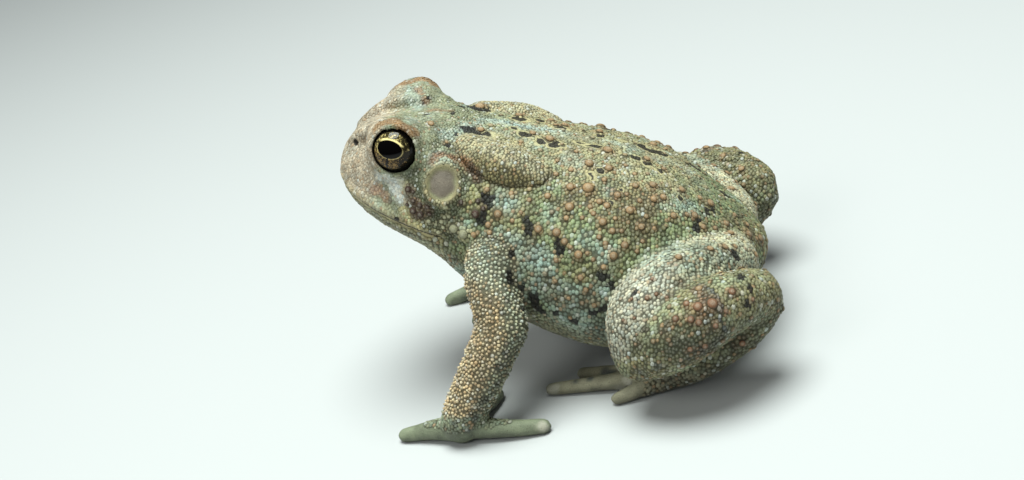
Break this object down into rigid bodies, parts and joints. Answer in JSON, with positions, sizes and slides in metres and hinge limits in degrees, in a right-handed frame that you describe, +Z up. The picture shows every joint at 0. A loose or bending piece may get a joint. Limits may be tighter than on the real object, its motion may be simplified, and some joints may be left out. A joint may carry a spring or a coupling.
{
  "type": "american toad",
  "caption": "Life-size sitting toad with a warty back, parotoid glands, raised brows, four-fingered hands and folded hind legs.",
  "frame": {"origin": "on the floor under the middle of the toad's overall length and width", "axes": "-X towards the snout, +Z up, +Y towards the toad's right side"},
  "size_m": [0.0728, 0.0672, 0.0536],
  "materials": {
    "toad_skin": "satin",
    "throat_skin": "satin",
    "gland_skin": "matte",
    "ear_skin": "satin",
    "eye": "gloss"
  },
  "bodies": {
    "root": {"torso": "toad_skin", "head": "toad_skin", "lower_jaw": "throat_skin", "eye_left": "eye", "eye_right": "eye", "ear_drum_left": "ear_skin", "ear_drum_right": "ear_skin", "parotoid_left": "gland_skin", "parotoid_right": "gland_skin", "upper_arm_left": "toad_skin", "upper_arm_right": "toad_skin", "forearm_left": "toad_skin", "forearm_right": "toad_skin", "hand_left": "toad_skin", "hand_right": "toad_skin", "thigh_left": "toad_skin", "thigh_right": "toad_skin", "shank_left": "toad_skin", "shank_right": "toad_skin", "foot_left": "toad_skin", "foot_right": "toad_skin"}
  },
  "joints": []
}
